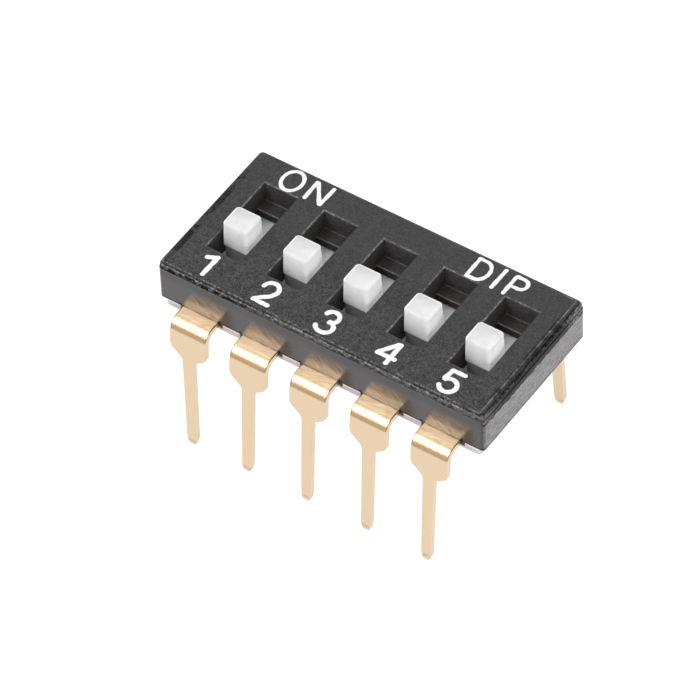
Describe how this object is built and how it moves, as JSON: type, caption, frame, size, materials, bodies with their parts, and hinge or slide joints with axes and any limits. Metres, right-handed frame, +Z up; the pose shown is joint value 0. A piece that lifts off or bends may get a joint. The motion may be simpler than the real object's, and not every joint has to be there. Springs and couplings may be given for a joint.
{
  "type": "slide dip switch",
  "caption": "Slide DIP switch with a black cover, white raised sliders in stepped slots, a light base and two rows of bent gold through-hole leads.",
  "frame": {"origin": "middle of the footprint, level with the tips of the leads", "axes": "X along the row of switches with switch 1 at -X, Y across the two rows of leads with the ON side at +Y, Z up"},
  "size_m": [0.0136, 0.009, 0.008],
  "materials": {
    "cover_black": "moulded thermoplastic, fine-grained top, smooth and glossy lower walls",
    "base_light": "moulded thermoplastic, smooth, faintly lilac white",
    "slider_white": "moulded thermoplastic, smooth and a little translucent",
    "contact_gold": "gold-plated copper alloy strip, satin"
  },
  "bodies": {
    "housing": {"cover": "cover_black", "base": "base_light", "front_terminal_1": "contact_gold", "front_terminal_2": "contact_gold", "front_terminal_3": "contact_gold", "front_terminal_4": "contact_gold", "front_terminal_5": "contact_gold", "back_terminal_1": "contact_gold", "back_terminal_2": "contact_gold", "back_terminal_3": "contact_gold", "back_terminal_4": "contact_gold", "back_terminal_5": "contact_gold"},
    "switch_1": {"slider_1": "slider_white", "moving_contact_1": "contact_gold"},
    "switch_2": {"slider_2": "slider_white", "moving_contact_2": "contact_gold"},
    "switch_3": {"slider_3": "slider_white", "moving_contact_3": "contact_gold"},
    "switch_4": {"slider_4": "slider_white", "moving_contact_4": "contact_gold"},
    "switch_5": {"slider_5": "slider_white", "moving_contact_5": "contact_gold"}
  },
  "joints": [
    {"name": "slide_1", "type": "slide", "parent": "housing", "child": "switch_1", "axis": [0, 1, 0], "range_m": [0, 0.00117]},
    {"name": "slide_2", "type": "slide", "parent": "housing", "child": "switch_2", "axis": [0, 1, 0], "range_m": [0, 0.00117]},
    {"name": "slide_3", "type": "slide", "parent": "housing", "child": "switch_3", "axis": [0, 1, 0], "range_m": [0, 0.00117]},
    {"name": "slide_4", "type": "slide", "parent": "housing", "child": "switch_4", "axis": [0, 1, 0], "range_m": [0, 0.00117]},
    {"name": "slide_5", "type": "slide", "parent": "housing", "child": "switch_5", "axis": [0, 1, 0], "range_m": [0, 0.00117]}
  ]
}
